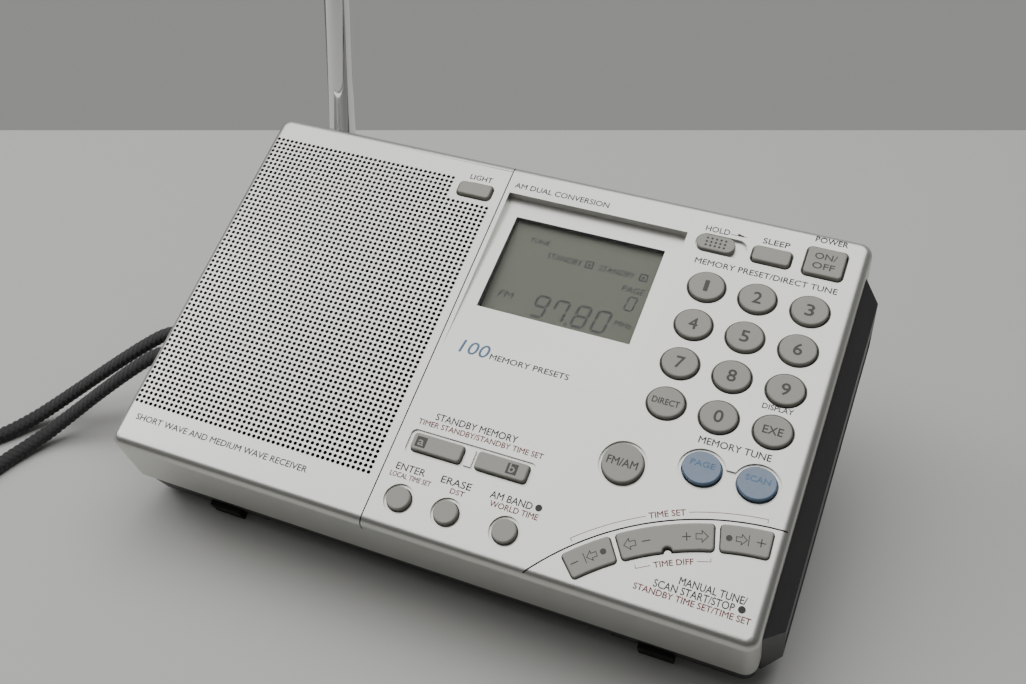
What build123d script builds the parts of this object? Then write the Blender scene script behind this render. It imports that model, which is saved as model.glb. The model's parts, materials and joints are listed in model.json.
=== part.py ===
from build123d import *
import math
import os

# World-band radio receiver, in millimetres. The pieces are drawn with the case lying on its back:
# X to the right, Y from the lower edge to the upper edge, Z out of the face, back plane at Z = 0.
# At the end the whole assembly is leaned back on its stand and set down on the table.

# Case
face_width = 186.6
face_height = 117.6
case_depth = 34.5
front_depth = 21.0                # depth of the silver front shells
flare_left = 0.8                  # draft: the shells are this much wider at the parting line
flare_bottom = 1.4
wall = 2.0
edge_radius = 2.6                 # rolled edge round the face
plan_radius = 3.6                 # corners seen from the front
seam_x = -13.1                    # joint between the grille and the control panel
seam_width = 0.35
seam_depth = 0.6
seam_run = 4.5                    # the groove runs over the rolled edge, this far down from the face
lip = 0.7                         # the rear cabinet stands in from the silver shells
taper = 0.9                       # the cabinet narrows towards the back, on all sides but the right
back_edge = 1.2                   # sloping edge round the back
lean = 24.7                       # angle of the case on its stand, degrees

# Fits
key_gap = 0.3                     # all round a key in its hole
slide_gap = 0.3
pin_gap = 0.06                    # radial, hinge pins and wheel axles
flange_gap = 0.3                  # key flange below the panel
flange_rim = 0.7                  # key flange wider than the key
flange_thick = 0.9

# Keys
key_proud = 1.1
key_edge = 0.45
key_travel = 0.6
bevel = 0.35                      # sloping rim round each key hole
bevel_depth = 0.45
round_well = 1.0                  # round buttons stand in wells this much wider all round
round_well_depth = 0.8
number_columns = (53.3, 67.5, 81.8)
number_rows = (92.1, 79.9, 67.7, 55.5)
number_names = ("1", "2", "3", "4", "5", "6", "7", "8", "9", "direct", "0", "exe")
number_size = (9.8, 8.7)

# name: outline, x, y, width, height, and corner radius of a rounded rectangle
buttons = {
    "light_button": ("rounded", -21.9, 105.8, 10.1, 4.4, 1.1),
    "sleep_button": ("rounded", 67.6, 106.0, 10.3, 4.6, 1.1),
    "power_button": ("rounded", 81.9, 107.6, 10.4, 8.5, 1.1),
    "band_button": ("round", 47.8, 36.0, 10.9, 10.9, 0),
    "page_button": ("oval", 67.5, 40.6, 10.2, 9.0, 0),
    "scan_button": ("oval", 81.8, 40.6, 10.2, 9.0, 0),
    "standby_a_button": ("rounded", -0.8, 25.7, 14.4, 4.9, 1.0),
    "standby_b_button": ("rounded", 17.9, 25.7, 14.4, 4.9, 1.0),
    "enter_button": ("round", -5.3, 9.3, 6.5, 6.5, 0),
    "erase_button": ("round", 8.3, 9.5, 6.5, 6.5, 0),
    "am_band_button": ("round", 24.8, 9.5, 6.5, 6.5, 0),
}

# Tuning keys, on an arc about a point beyond the lower right corner
arc_centre = (93.0, -44.0)
arc_inner = 66.6
arc_outer = 73.6
arc_seam = 74.9                   # fine groove that runs round above the keys
arc_seam_span = (89.8, 143.5)
arc_keys = {"tune_up_key": (92.9, 103.0), "tune_rocker": (104.3, 123.7), "tune_down_key": (125.0, 135.0)}
rocker_swing = 2.5                # degrees each way
notch_radius = 1.3

# Display
recess_box = (-11.6, 54.3, 43.1, 108.0)      # left, low, right, top
recess_depth = 2.6                # at the top; it runs out to nothing at the low end
recess_back = 1.2                 # thickness left behind its deepest part
recess_rim = 1.0
window_box = (-7.2, 69.8, 38.3, 101.7)
window_thick = 1.3
bed_floor = 4.3                   # face to the underside of the display bed
bed_rim = 2.2
oval_well_depth = 0.7
standby_well = (36.2, 7.2)
standby_well_depth = 0.6

# Board and display module
board_drop = 6.9                  # face to the top of the board
board_thick = 1.6
board_box = (-10.5, 13.0, 84.0, 102.0)
mat_thick = 1.0

# Speaker
speaker_x = -52.4
speaker_y = 61.0
speaker_radius = 38.5
speaker_depth = 22.0
magnet_radius = 19.0

# Battery bay
cell_radius = 7.1
cell_length = 50.0
cell_rows = 2
bay_x = 0.0
bay_low = 6.0
bay_clear = 0.4
bay_wall = 1.5
contact_room = 3.0
door_thick = 1.5
door_tongue = 1.0
door_travel = 32.0

# Stand
hinge_y = 76.0
hinge_z = 1.6
stand_width = 60.0
stand_thick = 2.4
barrel_radius = 1.3
pin_length = 3.0
stand_pad = 5.2

# Feet
foot_x = 66.6
foot_width = 9.8
foot_proud = 0.8
foot_low = -1.5
foot_rise = 4.6

# Side cover and its controls
cover_bulge = 4.6
trough_depth = 1.8                # the controls stand in a trough along the cover
trough_height = 7.6               # at its floor; it widens by its depth on each side
trough_end = 1.0                  # clear of the cover's end bevels
cover_low = 4.2
cover_high = 108.0
cover_bevel = 4.6
cover_front_drop = 3.2            # from the face to where the cover's slope starts
cover_slope = 4.0
wheel_radius = 10.0
wheel_thick = 3.6
wheel_proud = 1.2                 # above the floor of the trough
wheel_z = 8.5
axle_radius = 1.5
wheels = {"volume_wheel": 25.0, "attenuator_wheel": 92.0}
knob_length = 4.4
knob_height = 3.0
knob_proud = 1.1
switch_throw = 1.8
side_switches = {"tone_switch": 44.0, "mode_switch": 58.0, "sideband_switch": 72.0}

# Left side
jack_radius = 3.4
jack_bore = 1.8
jack_length = 13.0
jack_proud = 0.5
jack_z = 8.0
jack_rows = (57.0, 69.0, 81.0, 93.0)
anchor_y = 42.0
anchor_z = 11.0
anchor_length = 13.0
anchor_bar = 1.0
anchor_reach = 1.6

# Telescopic antenna
antenna_x = -82.8
antenna_z = 7.5
antenna_radius = 4.25
antenna_lift = 0.6                # the laid-down antenna clears the upper edge by this much
antenna_tilt = 30.5               # above the plane of the upper edge, at rest
antenna_sections = 7
section_step = 0.45
section_wall = 0.36
section_length = 165.0
section_show = 2.4                # each closed section stands out of the last by this much
section_travel = 150.0
tip_radius = 3.4
tip_length = 6.0
turret_radius = 5.4
ear_thick = 1.7
tongue_thick = 3.0
pivot_radius = 1.4
root_gap = 7.6                    # pivot to the foot of the outer tube

# Hand strap, a flat braid drawn as a round tube
strap_diameter = 4.8

face = case_depth
front_floor = case_depth - front_depth
under_panel = face - wall
board_top = face - board_drop
half_width = face_width / 2
mid_y = face_height / 2
below = -flare_bottom - 3          # well clear of the lower edge


def block(box, low, high):
    left, bottom, right, top = box
    middle = Pos((left + right) / 2, (bottom + top) / 2, (low + high) / 2)
    return middle * Box(right - left, top - bottom, high - low)


def grown(box, by):
    return (box[0] - by, box[1] - by, box[2] + by, box[3] + by)


def post(x, y, radius, low, high):
    return Pos(x, y, (low + high) / 2) * Cylinder(radius, high - low)


def rod_x(x0, x1, y, z, radius):
    return Pos((x0 + x1) / 2, y, z) * Rot(0, 90, 0) * Cylinder(radius, abs(x1 - x0))


def rod_y(x, y0, y1, z, radius):
    return Pos(x, (y0 + y1) / 2, z) * Rot(90, 0, 0) * Cylinder(radius, abs(y1 - y0))


def outline(kind, width, height, corner, grow=0.0):
    if kind == "rounded":
        return RectangleRounded(width + 2 * grow, height + 2 * grow, corner + grow)
    return Ellipse(width / 2 + grow, height / 2 + grow) if kind == "oval" else Circle(width / 2 + grow)


def sector(inner, outer, start, end, grow=0.0, corner=0.9):
    inner = inner - grow
    outer = outer + grow
    swing = math.degrees(grow / ((inner + outer) / 2))
    start = start - swing
    end = end + swing
    edges = [CenterArc((0, 0), outer, start, end - start), CenterArc((0, 0), inner, start, end - start)]
    for angle in (start, end):
        way = Vector(math.cos(math.radians(angle)), math.sin(math.radians(angle)))
        edges.append(Line(way * inner, way * outer))
    shape = make_face(edges)
    return Pos(*arc_centre) * fillet(shape.vertices(), corner + grow)


# Front shells
def rim_outline(inset, z, corner):
    # outline of the shells at the parting line, wider than the face to the left and below
    width = face_width + flare_left - 2 * inset
    height = face_height + flare_bottom - 2 * inset
    return Pos(-flare_left / 2, mid_y - flare_bottom / 2, z) * RectangleRounded(width, height, corner)


def front_block(inset):
    # crossing two straight runs, one along each pair of walls, gives the draft
    half = half_width - inset
    low = front_floor
    top = face - inset
    across = Polyline((-half - flare_left, low), (half, low), (half, top), (-half, top), close=True)
    plane = Plane(origin=(0, below, 0), x_dir=(1, 0, 0), z_dir=(0, -1, 0))
    solid = extrude(plane * make_face(across), -face_height + 2 * below)
    high = face_height - inset
    along = Polyline((inset - flare_bottom, low), (high, low), (high, top), (inset, top), close=True)
    plane = Plane(origin=(-face_width, 0, 0), x_dir=(0, 1, 0), z_dir=(1, 0, 0))
    solid = solid & extrude(plane * make_face(along), 2 * face_width)
    corners = [edge for edge in solid.edges() if abs(edge.tangent_at(0.5).Z) > 0.7]
    solid = fillet(corners, plan_radius - inset)
    return fillet(solid.faces().sort_by(Axis.Z)[-1].edges(), edge_radius - inset)


def front_shell():
    shell = front_block(0) - front_block(wall)
    groove = front_block(0) - front_block(seam_depth)
    slab = block((seam_x - seam_width / 2, below, seam_x + seam_width / 2, face_height + 1), face - seam_run, face + 1)
    return shell - (groove & slab)


def half_shell(shell, left, right):
    return shell & block((left, below, right, face_height + 1), 0, face + 1)


screw_radius = 1.1
boss_radius = 3.2
screw_places = ((-86.6, 6.6), (-64.0, 112.9), (70.6, 112.9), (86.6, 6.6))
board_posts = ((36.0, 19.0), (58.8, 49.2), (-7.0, 46.0))


def bosses(places, low, high, bore):
    made = [post(x, y, boss_radius, low, high) - post(x, y, bore, low - 1, high - 1) for x, y in places]
    return made


def speaker_grille(shell):
    grille = half_shell(shell, -half_width - flare_left - 1, seam_x)
    for boss in bosses(screw_places[:2], front_floor, under_panel, screw_radius):
        grille += boss
    ring = post(speaker_x, speaker_y, speaker_radius + 0.8, under_panel - 1.5, under_panel)
    grille += ring - post(speaker_x, speaker_y, speaker_radius, 0, face)
    return grille - key_hole(*buttons["light_button"])


def recess_wedge():
    left, low, right, top = recess_box
    profile = Polyline((low, face), (top, face - recess_depth), (top, face + 1), (low, face + 1), close=True)
    plane = Plane(origin=(left, 0, 0), x_dir=(0, 1, 0), z_dir=(1, 0, 0))
    return extrude(plane * make_face(profile), right - left)


def recess_z(y):
    low = recess_box[1]
    return face - recess_depth * (y - low) / (recess_box[3] - low)


def key_hole(kind, x, y, width, height, corner):
    hole = extrude(Pos(x, y, under_panel - 3) * outline(kind, width, height, corner, key_gap), wall + 4)
    if kind == "round":
        return hole + extrude(Pos(x, y, face - round_well_depth) * Circle(width / 2 + round_well), 2)
    rim = [Pos(x, y, face - bevel_depth) * outline(kind, width, height, corner, key_gap),
           Pos(x, y, face) * outline(kind, width, height, corner, key_gap + bevel)]
    return hole + loft(rim, ruled=True)


def panel_keys():
    keys = dict(buttons)
    for index, name in enumerate(number_names):
        x = number_columns[index % 3]
        y = number_rows[index // 3]
        keys["key_" + name] = ("oval", x, y, number_size[0], number_size[1], 0)
    return keys


hold_x = 53.3                     # middle of the slot; the knob rests at its left end
hold_y = 106.1
hold_slot = (14.8, 6.1)
hold_knob = (11.0, 4.9)
hold_well_depth = 1.0
hold_neck = (4.0, 2.4)
hold_throw = 1.5


def control_panel(shell):
    panel = half_shell(shell, seam_x, half_width + 1)
    bed = grown(window_box, bed_rim)
    panel += block(bed, face - bed_floor, under_panel)
    panel += block(grown(recess_box, recess_rim), face - recess_depth - recess_back, under_panel)
    for boss in bosses(screw_places[2:], front_floor, under_panel, screw_radius):
        panel += boss
    for x, y in board_posts:
        panel += post(x, y, 1.8, board_top, under_panel)
    panel -= recess_wedge()
    panel -= block(window_box, 0, face + 1)
    for name, shape in panel_keys().items():
        if name != "light_button":
            panel -= key_hole(*shape)
    for start, end in arc_keys.values():
        panel -= extrude(Pos(0, 0, under_panel - 1) * sector(arc_inner, arc_outer, start, end, key_gap), wall + 2)
    # barbell well round the two oval keys, and the standby keys' well
    left = buttons["page_button"]
    right = buttons["scan_button"]
    neck = block((left[1], left[2] - 1.6, right[1], left[2] + 1.6), face - oval_well_depth, face + 1)
    for kind, x, y, width, height, corner in (left, right):
        neck += extrude(Pos(x, y, face - oval_well_depth) * Ellipse(width / 2 + 1.1, height / 2 + 1.1), 2)
    panel -= neck
    # standby keys' well, with an island between the keys
    left = buttons["standby_a_button"]
    right = buttons["standby_b_button"]
    middle = (left[1] + right[1]) / 2
    gap = (right[1] - left[1] - left[3]) / 2
    well = Pos(middle, left[2]) * (RectangleRounded(*standby_well, 1.6) - Rectangle(gap, left[4]))
    panel -= extrude(Pos(0, 0, face - standby_well_depth) * well, 2)
    well = extrude(Pos(hold_x, hold_y, face - hold_well_depth) * SlotOverall(*hold_slot), 3)
    neck_room = hold_neck[0] + 2 * hold_throw + 2 * slide_gap
    slot = (hold_x - neck_room / 2, hold_y - hold_neck[1] / 2 - slide_gap,
            hold_x + neck_room / 2, hold_y + hold_neck[1] / 2 + slide_gap)
    panel -= well + block(slot, under_panel - 1, face)
    start, end = arc_seam_span
    groove = sector(arc_seam - 0.2, arc_seam + 0.2, start, end, 0, 0.05)
    panel -= extrude(Pos(0, 0, face - 0.5) * groove, 1)
    return panel


# Keys
def push_key(kind, x, y, width, height, corner):
    base = under_panel - flange_gap - flange_thick
    cap = extrude(Pos(x, y, base) * outline(kind, width, height, corner), face + key_proud - base)
    cap = fillet(cap.faces().sort_by(Axis.Z)[-1].edges(), key_edge)
    cap += extrude(Pos(x, y, base) * outline(kind, width, height, corner, flange_rim), flange_thick)
    stem_foot = board_top + mat_thick + key_travel + 0.3
    return cap + post(x, y, min(width, height) / 2 - 0.8, stem_foot, base)


def arc_key(start, end, drop):
    base = under_panel - flange_gap - flange_thick - drop
    cap = extrude(Pos(0, 0, base) * sector(arc_inner, arc_outer, start, end), face + key_proud - base)
    if drop:
        middle = math.radians((start + end) / 2)
        x = arc_centre[0] + arc_inner * math.cos(middle)
        y = arc_centre[1] + arc_inner * math.sin(middle)
        cap -= post(x, y, notch_radius, base - 1, face + key_proud + 1)
    cap = fillet(cap.faces().sort_by(Axis.Z)[-1].edges(), key_edge)
    cap += extrude(Pos(0, 0, base) * sector(arc_inner, arc_outer, start, end, flange_rim), flange_thick)
    middle = math.radians((start + end) / 2)
    reach = (arc_inner + arc_outer) / 2
    stem_foot = board_top + mat_thick + key_travel + 0.3
    x = arc_centre[0] + reach * math.cos(middle)
    y = arc_centre[1] + reach * math.sin(middle)
    return cap + post(x, y, 2.0, stem_foot, base)


def hold_switch():
    rest_x = hold_x - hold_throw
    top = extrude(Pos(rest_x, hold_y, face - hold_well_depth + 0.1) * SlotOverall(*hold_knob), 1.7)
    top = fillet(top.faces().sort_by(Axis.Z)[-1].edges(), 0.4)
    width, height = hold_neck
    neck = (rest_x - width / 2, hold_y - height / 2, rest_x + width / 2, hold_y + height / 2)
    keeper = under_panel - slide_gap - 1.0
    return top + block(neck, keeper, face) + block(grown(neck, 1.4), keeper, under_panel - slide_gap)


# Rear cabinet
def back_outline(inset, z):
    left = -half_width - flare_left + lip + taper + inset
    right = half_width - lip - inset
    bottom = back_bottom + inset
    top = face_height - lip - taper - inset
    shape = RectangleRounded(right - left, top - bottom, plan_radius)
    return Pos((left + right) / 2, (bottom + top) / 2, z) * shape


def cabinet_outside():
    rim = rim_outline(lip, front_floor, plan_radius)
    return loft([back_outline(back_edge, 0), back_outline(0, back_edge), rim], ruled=True)


def left_wall(z):
    return -half_width - flare_left + lip + taper * (front_floor - z) / (front_floor - back_edge)


back_bottom = -flare_bottom + lip + taper


bay_length = 2 * cell_length + 2 * contact_room
bay_high = bay_low + cell_rows * (2 * cell_radius + bay_clear)
bay_box = (bay_x - bay_length / 2, bay_low, bay_x + bay_length / 2, bay_high)
door_depth = door_thick + door_tongue
bay_top = door_depth + 2 * cell_radius + bay_clear
door_width = bay_length + 2 * 0.2
door_low = back_bottom + back_edge + 0.1
door_high = bay_high
foot_high = back_bottom + back_edge - 0.1
foot_height = foot_low * math.sin(math.radians(lean)) - foot_proud * math.cos(math.radians(lean))
stand_near = hinge_y - stand_thick / 2
stand_tip = (foot_height - stand_near * math.sin(math.radians(lean))) / math.cos(math.radians(lean))
stand_length = hinge_z - stand_tip
trough_x = half_width + cover_bulge - trough_depth
wheel_x = trough_x + wheel_proud - wheel_radius
turret_z = antenna_z
antenna_y = face_height + antenna_lift + antenna_radius


def wheel_room(y):
    return post(wheel_x, y, wheel_radius + 0.5, wheel_z - wheel_thick / 2 - 0.4, wheel_z + wheel_thick / 2 + 0.4)


def knob_room(y):
    reach = knob_length / 2 + switch_throw + slide_gap
    half = knob_height / 2 + slide_gap
    return block((half_width - 6, y - reach, half_width + 9, y + reach), wheel_z - half, wheel_z + half)


def rear_cabinet():
    outer = cabinet_outside()
    inner_rim = rim_outline(lip + wall, front_floor, plan_radius)
    cabinet = outer - loft([back_outline(wall, wall), inner_rim], ruled=True)
    cabinet += block(grown(bay_box, bay_wall), 0.8, bay_top + bay_wall)
    pad = (-stand_width / 2 - 6, hinge_y - stand_length - 2, stand_width / 2 + 6, hinge_y + 5)
    cabinet += block(pad, 0.8, stand_pad) & outer
    for x, y in screw_places:
        cabinet += post(x, y, boss_radius, 0.8, front_floor) & outer
    # battery bay, its door opening and the grooves for the door
    cabinet -= block(bay_box, door_depth, bay_top)
    opening = (bay_x - door_width / 2 - 0.2, below, bay_x + door_width / 2 + 0.2, door_high + 0.2)
    cabinet -= block(opening, -1, door_thick + 0.1)
    grooves = (opening[0] - 1.0, below, opening[2] + 1.0, door_high + 0.2)
    cabinet -= block(grooves, door_thick - 0.1, door_depth + 0.1)
    # stand recess and hinge holes
    recess = (-stand_width / 2 - 0.5, hinge_y - stand_length - 0.6, stand_width / 2 + 0.5,
              hinge_y + barrel_radius + 0.4)
    cabinet -= block(recess, -1, hinge_z + barrel_radius + 0.4)
    reach = stand_width / 2 + pin_length + 0.3
    cabinet -= rod_x(-reach, reach, hinge_y, hinge_z, barrel_radius + pin_gap)
    for x, y in screw_places:
        cabinet -= post(x, y, screw_radius, -1, front_floor + 1) + post(x, y, 2.4, -1, 2.4)
    for y in wheels.values():
        cabinet -= wheel_room(y)
    for y in side_switches.values():
        cabinet -= knob_room(y)
    for y in wheels.values():
        cabinet += post(wheel_x, y, axle_radius, wall, wheel_z + wheel_thick / 2 + 1.0)
        cabinet += post(wheel_x, y, axle_radius + 1.5, wall, wheel_z - wheel_thick / 2 - 0.3)
    for y in jack_rows:
        cabinet -= rod_x(-half_width - 5, -half_width + 12, y, jack_z, jack_radius)
    cabinet += turret_seat() - rod_y(antenna_x, face_height - 8, face_height + 5, turret_z, turret_radius + pin_gap)
    cabinet -= rod_y(antenna_x, face_height - 8, face_height + 5, turret_z, turret_radius + pin_gap)
    return cabinet


def turret_seat():
    half = turret_radius + 1.2
    box = (antenna_x - half, face_height - 10.5, antenna_x + half, face_height - lip - taper)
    return block(box, turret_z - half + 1.0, turret_z + half) & cabinet_outside()


def rear_feet():
    made = []
    for x in (-foot_x, foot_x):
        foot = block((x - foot_width / 2, foot_low, x + foot_width / 2, foot_high), -foot_proud, foot_rise)
        made.append(foot - cabinet_outside())
    return made


def battery_door():
    box = (bay_x - door_width / 2, door_low, bay_x + door_width / 2, door_high)
    tongue = (box[0] - 0.9, box[1], box[2] + 0.9, box[3])
    door = block(box, 0, door_thick) + block(tongue, door_thick, door_depth)
    for step in range(5):
        y = door_high - 5 - step * 1.6
        door -= block((bay_x - 9, y - 0.35, bay_x + 9, y + 0.35), -0.1, 0.5)
    return door


def stand():
    box = (-stand_width / 2, stand_near, stand_width / 2, stand_near + stand_thick)
    flap = block(box, stand_tip, hinge_z)
    flap = fillet(flap.edges().filter_by(Axis.Y).group_by(Axis.Z)[0], 5.0)
    flap += rod_x(-stand_width / 2, stand_width / 2, hinge_y, hinge_z, barrel_radius)
    flap -= block((-stand_width / 2 + 8, box[1] - 1, stand_width / 2 - 8, box[1] + 0.6), stand_tip + 8, -4)
    reach = stand_width / 2 + pin_length
    return flap + rod_x(-reach, reach, hinge_y, hinge_z, barrel_radius)


def case_screws():
    made = []
    for x, y in screw_places:
        screw = post(x, y, 2.2, 0.7, 2.4) + post(x, y, screw_radius, 2.4, under_panel - 3)
        for turn in (0, 90):
            screw -= Pos(x, y, 1.0) * Rot(0, 0, turn) * Box(2.6, 0.6, 0.8)
        made.append(screw)
    return made


# Side cover and controls
def side_cover():
    out = half_width + cover_bulge
    plan = Polyline((half_width, cover_low), (out, cover_low + cover_bevel), (out, cover_high - cover_bevel),
                    (half_width, cover_high), close=True)
    front = face - cover_front_drop
    cover = extrude(make_face(plan), case_depth)
    profile = Polyline((half_width, 0.8), (out, 2.6), (out, front - cover_slope), (half_width, front), close=True)
    plane = Plane(origin=(0, 0, 0), x_dir=(1, 0, 0), z_dir=(0, -1, 0))
    cover = cover & extrude(plane * make_face(profile), -face_height)
    cover += block((half_width - lip, cover_low, half_width, cover_high), 1.2, front_floor)
    half = trough_height / 2
    mouth = Polyline((trough_x, wheel_z - half), (trough_x, wheel_z + half),
                     (out + 1, wheel_z + half + trough_depth + 1), (out + 1, wheel_z - half - trough_depth - 1),
                     close=True)
    plane = Plane(origin=(0, cover_low + cover_bevel + trough_end, 0), x_dir=(1, 0, 0), z_dir=(0, -1, 0))
    cover -= extrude(plane * make_face(mouth), -(cover_high - cover_low - 2 * (cover_bevel + trough_end)))
    for y in wheels.values():
        cover -= wheel_room(y)
    for y in side_switches.values():
        cover -= knob_room(y)
    return cover


def thumb_wheel(y):
    low = wheel_z - wheel_thick / 2
    wheel = post(wheel_x, y, wheel_radius, low, low + wheel_thick)
    wheel = chamfer(wheel.edges(), 0.4)
    return wheel - post(wheel_x, y, axle_radius + pin_gap, low - 1, low + wheel_thick + 1)


def slide_knob(y):
    out = trough_x + knob_proud
    half = knob_height / 2
    knob = block((half_width - 5, y - knob_length / 2, out, y + knob_length / 2), wheel_z - half, wheel_z + half)
    knob = chamfer(knob.faces().sort_by(Axis.X)[-1].edges(), 0.3)
    inner = half_width - lip - wall - slide_gap
    reach = knob_length / 2 + 2.5
    return knob + block((inner - 1.5, y - reach, inner, y + reach), wheel_z - half - 1.2, wheel_z + half + 1.2)


# Left side
def jack_sockets():
    made = []
    for y in jack_rows:
        mouth = left_wall(jack_z) - jack_proud
        jack = rod_x(mouth, mouth + jack_length, y, jack_z, jack_radius)
        made.append(jack - rod_x(mouth - 1, mouth + jack_length - 1.5, y, jack_z, jack_bore))
    return made


def strap_anchor():
    wall_x = left_wall(anchor_z)
    bar_x = wall_x - anchor_reach
    half = anchor_length / 2
    anchor = rod_y(bar_x, anchor_y - half, anchor_y + half, anchor_z, anchor_bar)
    for side in (-1, 1):
        y = anchor_y + side * (half - 0.8)
        anchor += block((bar_x, y - 0.8, wall_x + 3, y + 0.8), anchor_z - 1.6, anchor_z + 1.6)
    return anchor - cabinet_outside()


# Display
def display_window():
    left, low, right, top = grown(window_box, -0.1)
    start = (low, recess_z(low))
    end = (top, recess_z(top))
    rise = 0.25
    profile = Polyline((start[0], start[1] + rise), (end[0], end[1] + rise), (end[0], end[1] - window_thick),
                       (start[0], start[1] - window_thick), close=True)
    plane = Plane(origin=(left, 0, 0), x_dir=(0, 1, 0), z_dir=(1, 0, 0))
    return extrude(plane * make_face(profile), right - left)


def lcd_module():
    return block(grown(window_box, 1.6), board_top, face - bed_floor)


def key_mat():
    mat = block((42.0, 16.0, 84.0, 98.5), board_top, board_top + mat_thick)
    mat += block((-10.0, 14.0, 42.5, 30.0), board_top, board_top + mat_thick)
    for x, y in board_posts:
        mat -= post(x, y, 2.0, 0, face)
    return mat


def main_board():
    board = block(board_box, board_top - board_thick, board_top)
    for x, y, width, height, tall in ((20, 40, 12, 12, 1.6), (50, 70, 16, 10, 2.4), (70, 30, 8, 14, 3.0),
                                      (10, 85, 20, 8, 2.0), (60, 92, 7, 7, 4.0)):
        low = board_top - board_thick - tall
        board += block((x - width / 2, y - height / 2, x + width / 2, y + height / 2), low, board_top - board_thick)
    return board


def ferrite_antenna():
    bar = rod_x(-5, 55, 108.5, 16.0, 4.0)
    for x0, x1 in ((0, 18), (32, 50)):
        bar += rod_x(x0, x1, 108.5, 16.0, 4.7)
    for x in (-3.0, 53.0):
        bar += block((x - 1.5, 104.5, x + 1.5, 112.5), wall, 16.0)
    return bar


# Speaker
def speaker_frame():
    top = under_panel
    frame = post(speaker_x, speaker_y, speaker_radius, top - 1.5, top)
    frame -= post(speaker_x, speaker_y, speaker_radius - 4, top - 2, top + 1)
    basket = Pos(speaker_x, speaker_y, top - 1.5 - 5) * Cone(magnet_radius + 4, speaker_radius - 2, 10)
    hollow = Pos(speaker_x, speaker_y, top - 1.5 - 4.2) * Cone(magnet_radius + 3, speaker_radius - 3, 10.2)
    frame += basket - hollow
    magnet = post(speaker_x, speaker_y, magnet_radius, top - speaker_depth, top - 11.0)
    return frame + magnet - post(speaker_x, speaker_y, 9.0, top - 12.5, top + 1)


def speaker_cone():
    top = under_panel - 0.4
    outer = Pos(speaker_x, speaker_y, top - 4) * Cone(9.5, speaker_radius - 5.4, 8)
    inner = Pos(speaker_x, speaker_y, top - 3.4) * Cone(9.0, speaker_radius - 5.6, 8)
    ring = post(speaker_x, speaker_y, speaker_radius - 4, top - 0.8, top)
    ring -= post(speaker_x, speaker_y, speaker_radius - 6.2, top - 2, top + 1)
    return outer - inner + ring + post(speaker_x, speaker_y, 9.5, top - 8.0, top - 7.0)


# Batteries
def cell_centres():
    for row in range(cell_rows):
        for side in (-1, 1):
            y = bay_low + (cell_radius + bay_clear / 2) * (2 * row + 1)
            yield bay_x + side * cell_length / 2, y


def batteries():
    z = door_depth + bay_clear / 2 + cell_radius
    made = []
    for x, y in cell_centres():
        cell = rod_x(x - cell_length / 2, x + cell_length / 2 - 1.2, y, z, cell_radius)
        made.append(cell + rod_x(x, x + cell_length / 2, y, z, 2.6))
    return made


def battery_contacts():
    z = door_depth + bay_clear / 2 + cell_radius
    made = []
    for row in range(cell_rows):
        y = bay_low + (cell_radius + bay_clear / 2) * (2 * row + 1)
        for side in (-1, 1):
            end = bay_x + side * bay_length / 2
            inner = end - side * 0.5
            plate = block((min(end, inner), y - 6, max(end, inner), y + 6), z - 6, z + 6)
            made.append(plate + rod_x(inner, bay_x + side * cell_length, y, z, 2.4))
    return made


# Antenna
def antenna_base():
    low = face_height - 8
    top = antenna_y - pivot_radius - 2.2
    base = rod_y(antenna_x, low, top, turret_z, turret_radius)
    for side in (-1, 1):
        x = antenna_x + side * (tongue_thick / 2 + 0.1 + ear_thick / 2)
        ear = block((x - ear_thick / 2, top - 0.5, x + ear_thick / 2, antenna_y), turret_z - 3, turret_z + 3)
        base += ear + rod_x(x - ear_thick / 2, x + ear_thick / 2, antenna_y, turret_z, 3.0)
    reach = tongue_thick / 2 + ear_thick
    return base + rod_x(antenna_x - reach, antenna_x + reach, antenna_y, turret_z, pivot_radius)


def antenna_section(number):
    # drawn along Z from the pivot, and tilted by the caller
    radius = antenna_radius - section_step * number
    foot = root_gap + section_show * number
    tube = Pos(0, 0, foot + section_length / 2) * Cylinder(radius, section_length)
    last = number == antenna_sections - 1
    if not last:
        tube -= Pos(0, 0, foot + section_length / 2) * Cylinder(radius - section_wall, section_length + 2)
    if number == 0:
        tube += Pos(0, 0, root_gap - 0.6) * Cylinder(radius, 1.2)
        half = tongue_thick / 2
        tube += Pos(0, 0, root_gap / 2) * Box(tongue_thick, 5.0, root_gap)
        tube += Rot(0, 90, 0) * Cylinder(2.5, tongue_thick)
        tube -= Rot(0, 90, 0) * Cylinder(pivot_radius + pin_gap, 2 * half + 1)
    if last:
        tip = Pos(0, 0, foot + section_length + tip_length / 2) * Cylinder(tip_radius, tip_length)
        tube += fillet(tip.edges(), 0.8)
    return Pos(antenna_x, antenna_y, turret_z) * Rot(-antenna_tilt, 0, 0) * tube


# Strap, listed from the middle of the line where the feet stand on the table
strap_points = (
    (-94.6, 35.0, 29.1), (-101.0, 38.0, 30.4), (-109.5, 39.4, 29.4), (-119.0, 32.6, 23.6),
    (-129.8, 25.0, 15.6), (-138.5, 18.4, 9.0), (-146.5, 9.6, 3.6), (-152.6, -1.6, 2.4),
    (-163.0, -13.0, 2.4), (-178.0, -23.0, 2.4), (-187.0, -38.0, 2.4), (-182.0, -53.0, 2.4),
    (-166.0, -56.0, 2.4), (-152.0, -44.0, 2.4), (-146.5, -28.0, 2.4), (-143.8, -11.0, 2.4),
    (-138.6, 3.2, 3.6), (-131.6, 12.5, 9.2), (-122.6, 19.2, 17.0), (-113.5, 25.9, 24.2),
    (-107.5, 30.4, 28.0), (-101.5, 31.6, 28.0), (-94.6, 30.5, 27.0),
)


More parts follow.
